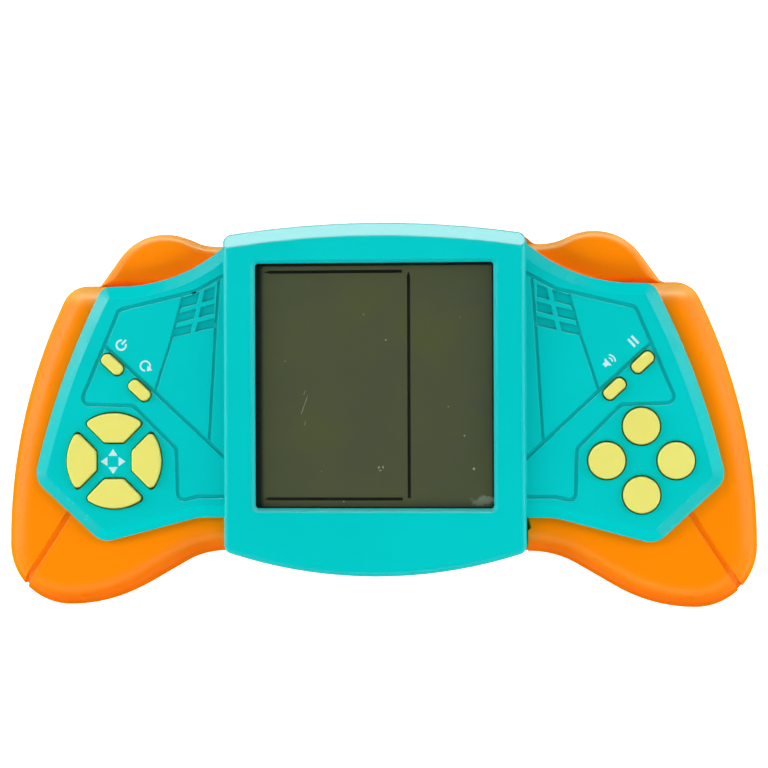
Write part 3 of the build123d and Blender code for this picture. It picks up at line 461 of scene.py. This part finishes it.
def laminate(name, track_pitch):
    """Board laminate: green mask over a maze of tracks this far apart in mm, and tinned pads."""
    pad_pitch, pad_radius, track_depth = 3.4, 0.578, 0.04
    material, tree = blank(name)
    place = add(tree, "TexCoord").outputs["Object"]
    maze = add(tree, "TexBrick", {
        "Vector": place, "Scale": per(track_pitch), "Color1": linear("#1d6b3a"),
        "Color2": linear("#1f7440"), "Mortar": linear("#3f9a55"), "Mortar Size": 0.11,
        "Brick Width": 2.6, "Row Height": 0.8}).outputs
    dots = add(tree, "TexVoronoi", {"Vector": place, "Scale": per(pad_pitch), "Randomness": 0.35})
    pad = add(tree, "Math", {0: dots, 1: pad_radius / pad_pitch}, operation="LESS_THAN")
    colour = add(tree, "Mix", {"Factor": pad, "A": maze["Color"], "B": linear("#c9c9c4")},
                 data_type="RGBA")
    gloss = add(tree, "MapRange", {"Value": dots, "To Min": 0.24, "To Max": 0.40})
    height = add(tree, "Math", {0: maze["Fac"], 1: pad}, operation="ADD")
    relief = add(tree, "Bump", {"Height": height, "Strength": 0.5, "Distance": track_depth * MM})
    shader = add(tree, "BsdfPrincipled", {
        "Base Color": colour, "Metallic": pad, "Roughness": gloss, "Normal": relief, "IOR": 1.55})
    add(tree, "OutputMaterial", {"Surface": shader})
    return material


# Solder mask is a glossy mid green, paler over the tracks, with bright tinned dots.
dress(laminate("board laminate", track_pitch=2.2), "main_board")
dress(laminate("key board laminate", track_pitch=3.0), "left_key_board", "right_key_board")


def plain(name, dark, pale, roughness, spot, depth, ior=1.5):
    """One-coloured stuff: two close tones in clouds of this size in mm, with uneven gloss."""
    material, tree = blank(name)
    place = add(tree, "TexCoord").outputs["Object"]
    cloud = add(tree, "TexNoise", {"Vector": place, "Scale": per(spot), "Detail": 4.0})
    colour = add(tree, "ValToRGB", {"Fac": cloud}, stops=[(0.35, dark), (0.65, pale)])
    gloss = add(tree, "MapRange", {"Value": cloud, "From Min": 0.3, "From Max": 0.7,
                                   "To Min": roughness - 0.06, "To Max": roughness + 0.08})
    relief = add(tree, "Bump", {"Height": cloud, "Strength": 0.4, "Distance": depth * MM})
    shader = add(tree, "BsdfPrincipled", {
        "Base Color": colour, "Roughness": gloss, "Normal": relief, "IOR": ior})
    add(tree, "OutputMaterial", {"Surface": shader})
    return material


# Potting resin is near black, poured, and shows a soft round highlight.
resin = plain("black resin", "#141415", "#1d1d1f", roughness=0.22, spot=3.33, depth=0.05)
dress(resin, "controller_chip")
# The capacitor's sleeve, the crystal's can and the resistors share a dark lacquered look.
lacquer = plain("component lacquer", "#20242c", "#2d333e", roughness=0.30, spot=1.25, depth=0.02)
dress(lacquer, "board_components")

# Key mats and flat cables
#
# Grey silicone sheets with hollow domes give the keys their spring. Flat polyester cables with
# silver tracks join the key boards to the main board through slots in the block's side walls.

# Moulded silicone is dull and even, with a faint bloom.
silicone = plain("grey silicone", "#8d9193", "#9ca0a2", roughness=0.62, spot=2.0, depth=0.03,
                 ior=1.41)
dress(silicone, "left_key_mat", "right_key_mat")

# Polyester film is cream and slightly glossy, with a printed silver track every millimetre.
track_pitch, gap_half, track_step, dust_size = 1.0, 0.24, 0.03, 1.11
cable, tree = blank("flat cable")
place = add(tree, "TexCoord").outputs["Object"]
across = add(tree, "SeparateXYZ", {"Vector": place}).outputs["Y"]
lanes = add(tree, "Math", {0: across, 1: per(track_pitch)}, operation="MULTIPLY")
lane = add(tree, "Math", {0: lanes, 1: 0.5}, operation="PINGPONG")
track = add(tree, "Math", {0: lane, 1: gap_half / track_pitch}, operation="GREATER_THAN")
tone = add(tree, "Mix", {"Factor": track, "A": linear("#e4e2d8"), "B": linear("#9d9c98")},
           data_type="RGBA")
dust = add(tree, "TexNoise", {"Vector": place, "Scale": per(dust_size), "Detail": 3.0})
gloss = add(tree, "MapRange", {"Value": dust, "To Min": 0.2, "To Max": 0.45})
relief = add(tree, "Bump", {"Height": track, "Strength": 0.5, "Distance": track_step * MM})
shader = add(tree, "BsdfPrincipled", {
    "Base Color": tone, "Roughness": gloss, "Normal": relief, "IOR": 1.57})
add(tree, "OutputMaterial", {"Surface": shader})
dress(cable, "left_ribbon", "right_ribbon")

# Display
#
# A white frame presses the glass pair and its reflector against the window, and a rubber strip
# connects them. The front glass has a dark film, a black border and the game's black field lines.

# Frame plastic is a soft satin white, connector rubber a dull dark grey, and foil a brushed grey.
holder = plain("white frame plastic", "#dcdcd6", "#e6e6e1", roughness=0.45, spot=2.0, depth=0.02)
dress(holder, "lcd_frame")
rubber = plain("connector rubber", "#5b5d60", "#6d7073", roughness=0.60, spot=0.714, depth=0.03,
               ior=1.43)
dress(rubber, "zebra_strip")
foil = metal("reflector foil", "#8f928c", "#a7aaa3", roughness=0.38, brushed=(1.0, 0.08, 1.0))
dress(foil, "lcd_reflector")


def clear_sheet(name, tint, roughness, ior):
    """Clear sheet: what lies behind shows through, with a surface gleam and faint smears in it.

    Its mirror share stays under a cap, so that the window doesn't turn white at a flat angle.
    """
    smear_size, mirror_cap = 8.33, 0.035
    material, tree = blank(name)
    place = add(tree, "TexCoord").outputs["Object"]
    smear = add(tree, "TexNoise", {"Vector": place, "Scale": per(smear_size), "Detail": 5.0,
                                   "Roughness": 0.65})
    haze = add(tree, "MapRange", {"Value": smear, "From Min": 0.3, "From Max": 0.75,
                                  "To Min": roughness, "To Max": roughness + 0.08})
    through = add(tree, "BsdfTransparent", {"Color": linear(tint)})
    gleam = add(tree, "BsdfGlossy", {"Roughness": haze})
    fresnel = add(tree, "Fresnel", {"IOR": ior})
    capped = add(tree, "Math", {0: fresnel, 1: mirror_cap}, operation="MINIMUM")
    behind = add(tree, "NewGeometry").outputs["Backfacing"]
    front = add(tree, "Math", {0: 1.0, 1: behind}, operation="SUBTRACT")
    share = add(tree, "Math", {0: capped, 1: front}, operation="MULTIPLY")
    mixed = add(tree, "MixShader", {0: share, 1: through, 2: gleam})
    add(tree, "OutputMaterial", {"Surface": mixed})
    return material


# Display glass is clear with a trace of green.
glass = clear_sheet("display glass", "#eef6f0", roughness=0.03, ior=1.52)
dress(glass, "lcd_front_glass", "lcd_rear_glass")


def raised(name, outlines, low, high, material, body="case"):
    """A thin flat piece built up from closed outlines, with all its lengths in mm."""
    form = bmesh.new()
    for outline in outlines:
        floor = [form.verts.new((x * MM, y * MM, low * MM)) for x, y in outline]
        roof = [form.verts.new((x * MM, y * MM, high * MM)) for x, y in outline]
        form.faces.new(list(reversed(floor)))
        form.faces.new(roof)
        for index in range(len(outline)):
            after = (index + 1) % len(outline)
            form.faces.new((floor[index], floor[after], roof[after], roof[index]))
    bmesh.ops.recalc_face_normals(form, faces=form.faces)
    mesh = bpy.data.meshes.new(name)
    form.to_mesh(mesh)
    form.free()
    mesh.materials.append(material)
    piece = bpy.data.objects.new(name, mesh)
    scene.collection.objects.link(piece)
    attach(piece, body)


# The window's opening is smaller all round than its lens by the lap that is glued to the bezel.
lens_lap = 1.7
lens_low, lens_high = box_mm("screen_lens")
window_left, window_right = lens_low[0] + lens_lap, lens_high[0] - lens_lap
window_low, window_high = lens_low[1] + lens_lap, lens_high[1] - lens_lap
glass_top = box_mm("lcd_front_glass")[1][2]

# The film reaches under the bezel by its laps. Low on the right it came loose: there it has a
# low blister, and a pale spot with a ragged rim.
film_side_lap, film_low_lap, film_top_lap = 1.4, 1.35, 1.25
film_gap, film_thickness = 0.03, 0.08
film_top = glass_top + film_gap + film_thickness
blister_place = (window_right - 2.2, window_low + 1.85)
blister_half, blister_rise = (3.2, 1.5), 0.18
# The painted shadow of the bezel is black up to this far in mm from the window's left side, and
# olive again by this far.
edge_black, edge_olive = 1.0, 2.2
pale_place = (window_right - 2.0, window_low + 1.75)
pale_lean, pale_stretch, pale_share = -32.0, 0.45, 0.8
pale_rim, pale_core, pale_raggedness = 1.5, 0.7, 3.5
cloud_size, ragged_size = 16.7, 2.0

# The polariser is a dark, cloudy olive film with little gloss. Along its left edge it carries a
# near-black painted shadow of the bezel, and it is paler low on the right, where it came loose
# and air lies under it.
polariser, tree = blank("polarising film")
place = add(tree, "TexCoord").outputs["Object"]
from_left = add(tree, "SeparateXYZ", {"Vector": place}).outputs["X"]
cloud = add(tree, "TexNoise", {"Vector": place, "Scale": per(cloud_size), "Detail": 4.0,
                               "Roughness": 0.5})
olive = add(tree, "ValToRGB", {"Fac": cloud},
            stops=[(0.30, "#484d39"), (0.50, "#4b5036"), (0.70, "#4d5231")])
left_depth = add(tree, "Math", {0: from_left, 1: window_left * MM}, operation="SUBTRACT")
shade = add(tree, "MapRange", {"Value": left_depth, "From Min": edge_black * MM,
                               "From Max": edge_olive * MM}, interpolation_type="SMOOTHSTEP")
olive_with_painted_shadow = add(tree, "Mix", {"Factor": shade, "A": linear("#1d2721"), "B": olive}, data_type="RGBA")
ragged = add(tree, "TexNoise", {"Vector": place, "Scale": per(ragged_size), "Detail": 3.0})
swing = add(tree, "Math", {0: ragged, 1: 0.5}, operation="SUBTRACT")
jitter = add(tree, "Math", {0: swing, 1: pale_raggedness * MM}, operation="MULTIPLY")
corner = add(tree, "VectorMath", {
    0: place, 1: (pale_place[0] * MM, pale_place[1] * MM, glass_top * MM)}, operation="SUBTRACT")
corner = add(tree, "Mapping", {"Vector": corner, "Rotation": (0.0, 0.0, math.radians(pale_lean)),
                               "Scale": (pale_stretch, 1.0, 0.0)})
reach = add(tree, "VectorMath", {0: corner}, operation="LENGTH")
rough_reach = add(tree, "Math", {0: reach, 1: jitter}, operation="ADD")
lifted = add(tree, "MapRange", {"Value": rough_reach, "From Min": pale_rim * MM,
                                "From Max": pale_core * MM}, interpolation_type="SMOOTHSTEP")
pale = add(tree, "Math", {0: lifted, 1: pale_share}, operation="MULTIPLY")
colour = add(tree, "Mix", {"Factor": pale, "A": olive_with_painted_shadow, "B": linear("#77806e")}, data_type="RGBA")
gloss = add(tree, "MapRange", {"Value": ragged, "To Min": 0.42, "To Max": 0.60})
shader = add(tree, "BsdfPrincipled", {
    "Base Color": colour, "Roughness": gloss, "IOR": 1.48, "Specular IOR Level": 0.2})
add(tree, "OutputMaterial", {"Surface": shader})


def sheet_with_bubble(name, left, right, low, high, level, bubble, lift, material):
    """A thin film as a fine grid that lies flat, but for one low blister where it came loose."""
    form = bmesh.new()
    columns, rows = 72, 72
    grid = []
    for row in range(rows + 1):
        y = low + (high - low) * row / rows
        line = []
        for column in range(columns + 1):
            x = left + (right - left) * column / columns
            away = math.hypot((x - bubble[0]) / blister_half[0], (y - bubble[1]) / blister_half[1])
            rise = lift * max(0.0, 1.0 - away ** 2)
            line.append(form.verts.new((x * MM, y * MM, (level + rise) * MM)))
        grid.append(line)
    for row in range(rows):
        for column in range(columns):
            form.faces.new((grid[row][column], grid[row][column + 1],
                            grid[row + 1][column + 1], grid[row + 1][column]))
    for face in form.faces:
        face.smooth = True
    mesh = bpy.data.meshes.new(name)
    form.to_mesh(mesh)
    form.free()
    mesh.materials.append(material)
    piece = bpy.data.objects.new(name, mesh)
    scene.collection.objects.link(piece)
    body = piece.modifiers.new("thickness", "SOLIDIFY")
    body.thickness = film_thickness * MM
    body.offset = 1.0
    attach(piece, "case")


sheet_with_bubble("polariser", window_left - film_side_lap, window_right + film_side_lap,
                  window_low - film_low_lap, window_high + film_top_lap, glass_top + film_gap,
                  blister_place, blister_rise, polariser)


def stroke(start, end, thick, point):
    """A straight bar that tapers to a point at its start, over this much of its length."""
    (x0, y0), (x1, y1) = start, end
    length = math.hypot(x1 - x0, y1 - y0)
    ahead = ((x1 - x0) / length, (y1 - y0) / length)
    aside = (-ahead[1] * thick / 2, ahead[0] * thick / 2)
    knee = (x0 + ahead[0] * point, y0 + ahead[1] * point)
    return [(x0, y0), (knee[0] - aside[0], knee[1] - aside[1]), (x1 - aside[0], y1 - aside[1]),
            (x1 + aside[0], y1 + aside[1]), (knee[0] + aside[0], knee[1] + aside[1])]


# Display black has a trace of green where light leaks through a lit segment. The lines run along
# the top of the field, down its right side and along its bottom, rooted a little in the film.
segment = plain("lit segment", "#060702", "#0a0b04", roughness=0.45, spot=1.11, depth=0.01)
field_top, field_low = window_high - 2.0, window_low + 2.15
field_right, divider_x = 6.6, 8.15
print_root = 0.01
line_top = film_top + 0.03
field_lines = [
    stroke((window_left + 2.0, field_top), (field_right, field_top), thick=0.72, point=1.4),
    stroke((divider_x, field_top - 0.15), (divider_x, field_low + 0.2), thick=0.72, point=0.8),
    stroke((window_left + 2.1, field_low), (field_right, field_low), thick=0.70, point=0.8),
]
raised("field_lines", field_lines, film_top - print_root, line_top, segment)

# The border is printed in soft black ink round the display, wider on the left, and hides the
# glass edges.
border_ink = plain("border ink", "#10130f", "#171b17", roughness=0.45, spot=1.11, depth=0.01)
border_side_lap, border_end_lap, border_thickness = 1.8, 1.65, 0.03
inner_left, inner_right = window_left + 0.9, window_right - 0.45
inner_low, inner_high = window_low + 0.35, window_high - 0.65
outer_left, outer_right = window_left - border_side_lap, window_right + border_side_lap
outer_low, outer_high = window_low - border_end_lap, window_high + border_end_lap


def corners(left, right, low, high):
    """An upright rectangle between its four sides."""
    return [(left, low), (right, low), (right, high), (left, high)]


border = [
    corners(outer_left, inner_left, outer_low, outer_high),
    corners(inner_right, outer_right, outer_low, outer_high),
    corners(inner_left, inner_right, outer_low, inner_low),
    corners(inner_left, inner_right, inner_high, outer_high),
]
raised("border_print", border, line_top, line_top + border_thickness, border_ink)


def fleck(x, y, length, turn):
    """A short curved fibre as a closed outline."""
    sweep, steps, inside = 60.0, 4, 0.7
    angles = [math.radians(turn + sweep * (step / steps - 0.5)) for step in range(steps + 1)]
    outer = [(x + length * math.cos(angle), y + length * math.sin(angle)) for angle in angles]
    inner = [(x + inside * length * math.cos(angle), y + inside * length * math.sin(angle))
             for angle in reversed(angles)]
    return outer + inner


def speck_of_dust(x, y, radius):
    """A six-sided grain as a closed outline."""
    turns = [math.radians(60.0 * step) for step in range(6)]
    return [(x + radius * math.cos(turn), y + radius * math.sin(turn)) for turn in turns]


# Pale matt lint, caught under the window when the game was put together: a curl, three hairs and
# some grains.
lint = plain("lint", "#8f957f", "#b9bfa9", roughness=0.70, spot=0.5, depth=0.01)
curl = [fleck(1.5, -12.2, length=0.62, turn=20.0), fleck(1.4, -12.3, length=0.60, turn=150.0),
        fleck(1.4, -12.3, length=0.58, turn=260.0)]
hairs = [stroke((-15.75, 5.2), (-17.4, 0.6), thick=0.08, point=1.0),
         stroke((-16.3, 6.3), (-16.8, 5.2), thick=0.07, point=0.3),
         stroke((-16.4, -0.9), (-16.6, -2.1), thick=0.07, point=0.3)]
dust_grains = [(23.4, -12.4, 0.30), (21.2, -4.6, 0.20), (2.75, 18.0, 0.17), (-2.5, 24.0, 0.13),
               (20.3, 23.3, 0.11), (17.4, 2.2, 0.12), (-21.2, 13.1, 0.11), (-7.4, -20.1, 0.13),
               (-12.6, -13.0, 0.10)]
grains = [speck_of_dust(x, y, radius) for x, y, radius in dust_grains]
lint_thickness = 0.02
raised("lint_specks", curl + hairs + grains, line_top - lint_thickness, line_top, lint)

# Front cover and window
#
# One turquoise ABS moulding, glossier than the grips: screen block and both wing plates. The
# clear acrylic window is glued behind the bezel.

# The turquoise is a clean, even tone with a soft gloss, with painted shade on the sides towards
# the player, on slopes away from the player, in the grooves and a little on the low margins. Hands
# have left a haze on the outer margins. The upper and lower margins, and the lower outer ones in
# part, lose their gleam and take a lighter rim tone instead, a painted highlight.
margin_calm_and_painted_light = [(0.13, 1.0), (0.19, 0.0), (0.50, 0.0), (0.56, 0.8), (0.63, 0.7), (0.67, 0.15),
               (0.70, 0.0), (0.80, 0.65), (0.885, 0.65), (0.915, 1.0)]
turquoise = moulded("turquoise ABS", face=("#00c3c2", "#00c6c5", "#02cac9"), near_painted_shade="#01c4c3",
                    far_painted_shading="#01aeb0", sunk_painted_shade="#01b0b0", roughness=0.20, wear=0.12,
                    eased=(0.2, 0.8), rim_painted_light="#01cccb", calm_and_painted_light=margin_calm_and_painted_light)
dress(turquoise, "front_cover")
# Acrylic is colourless, with a thin clear gleam.
dress(clear_sheet("clear acrylic", "#fbfdfc", roughness=0.02, ior=1.49), "screen_lens")

# Keys
#
# Pale yellow ABS caps, four sectors on the left, four round ones on the right and four small
# oblong ones above, each held in by a flange behind the plate and pushed up by its dome.

# The yellow looks duller and softer than the other mouldings, with hardly any highlight. Its
# sides towards the player and its slopes away from the player carry a darker painted shade.
yellow = moulded("yellow ABS", face=("#e2dd6a", "#e5e070", "#e8e578"), near_painted_shade="#d2ce55",
                 far_painted_shading="#ddd964", sunk_painted_shade="#e5e070", roughness=0.42, wear=0.05, eased=(0.2, 0.2),
                 gloss_level=0.4)
dress(yellow, *[name for name in nodes if name.startswith("key_") and "screws" not in name])

# Screws
#
# Zinc-plated pan-head screws with cross recesses: eight long ones from behind through the bosses,
# and short ones that hold the boards.

# Zinc plate is a cool, bright grey with fine scratches.
zinc = metal("zinc plate", "#8d9196", "#b5b9be", roughness=0.30)
dress(zinc, "case_screws", "key_board_screws", "main_board_screws")

# Printed marks
#
# White pad-printed ink on the wing plates: a plain symbol above each of the small keys, and four
# arrowheads that point to the direction keys.

# The ink is a thin bluish white that lets a little of the plastic through.
ink = plain("white print", "#b9dfe3", "#c9ebee", roughness=0.50, spot=0.667, depth=0.01)
ink_thickness = 0.02
key_lean = 43.0


def arc(radius, thick, start, end, steps=18):
    """An open ring, as quads, between two angles in degrees."""
    low, high = radius - thick / 2, radius + thick / 2
    quads = []
    for step in range(steps):
        first = math.radians(start + (end - start) * step / steps)
        second = math.radians(start + (end - start) * (step + 1) / steps)
        quads.append([(low * math.cos(first), low * math.sin(first)),
                      (high * math.cos(first), high * math.sin(first)),
                      (high * math.cos(second), high * math.sin(second)),
                      (low * math.cos(second), low * math.sin(second))])
    return quads


def bar(x, y, width, height):
    """An upright rectangle round a middle."""
    return corners(x - width / 2, x + width / 2, y - height / 2, y + height / 2)


def stamp(name, outlines, place, turn):
    """Print one symbol on a wing plate at a place in mm, turned by an angle in degrees."""
    angle = math.radians(turn)
    turned = []
    for outline in outlines:
        turned.append([(place[0] + x * math.cos(angle) - y * math.sin(angle),
                        place[1] + x * math.sin(angle) + y * math.cos(angle)) for x, y in outline])
    raised(name, turned, wing_face - print_root, wing_face + ink_thickness, ink)


def beside(key, right, up):
    """A place on the plate this far in mm from the middle of a key."""
    middle = middle_mm(key)
    return (middle[0] + right, middle[1] + up)


ring_radius = 1.15
arrow_tip = [(0.35, 0.45), (1.95, 0.45), (ring_radius, -0.65)]
horn = [(-0.85, -0.5), (-0.1, -1.2), (-0.1, 1.2), (-0.85, 0.5)]
near_wave = arc(radius=0.85, thick=0.32, start=-45.0, end=45.0, steps=8)
far_wave = arc(radius=1.55, thick=0.32, start=-45.0, end=45.0, steps=10)

power_mark = arc(ring_radius, thick=0.42, start=125.0, end=415.0) + [bar(0.0, 0.95, 0.42, 1.5)]
reset_mark = arc(ring_radius, thick=0.40, start=20.0, end=310.0) + [arrow_tip]
pause_mark = [bar(-0.55, 0.0, 0.55, 2.4), bar(0.55, 0.0, 0.55, 2.4)]
sound_mark = [bar(-1.15, 0.0, 0.6, 1.0), horn] + near_wave + far_wave
stamp("mark_power", power_mark, beside("key_power", right=2.15, up=4.6), -key_lean)
stamp("mark_reset", reset_mark, beside("key_reset", right=1.4, up=5.8), -key_lean)
stamp("mark_pause", pause_mark, beside("key_pause", right=-2.15, up=4.9), key_lean)
stamp("mark_sound", sound_mark, beside("key_sound", right=-1.35, up=6.4), key_lean)

# The arrowheads were printed a trace left of and below the middle of the four keys.
arrow_middle = (middle_mm("key_up")[0] - 0.3, middle_mm("key_left")[1] - 0.18)
arrow_head = [(-1.1, 1.35), (1.1, 1.35), (0.0, 3.0)]
for name, turn in (("up", 0.0), ("left", 90.0), ("down", 180.0), ("right", 270.0)):
    stamp("arrow_" + name, [arrow_head], arrow_middle, turn)
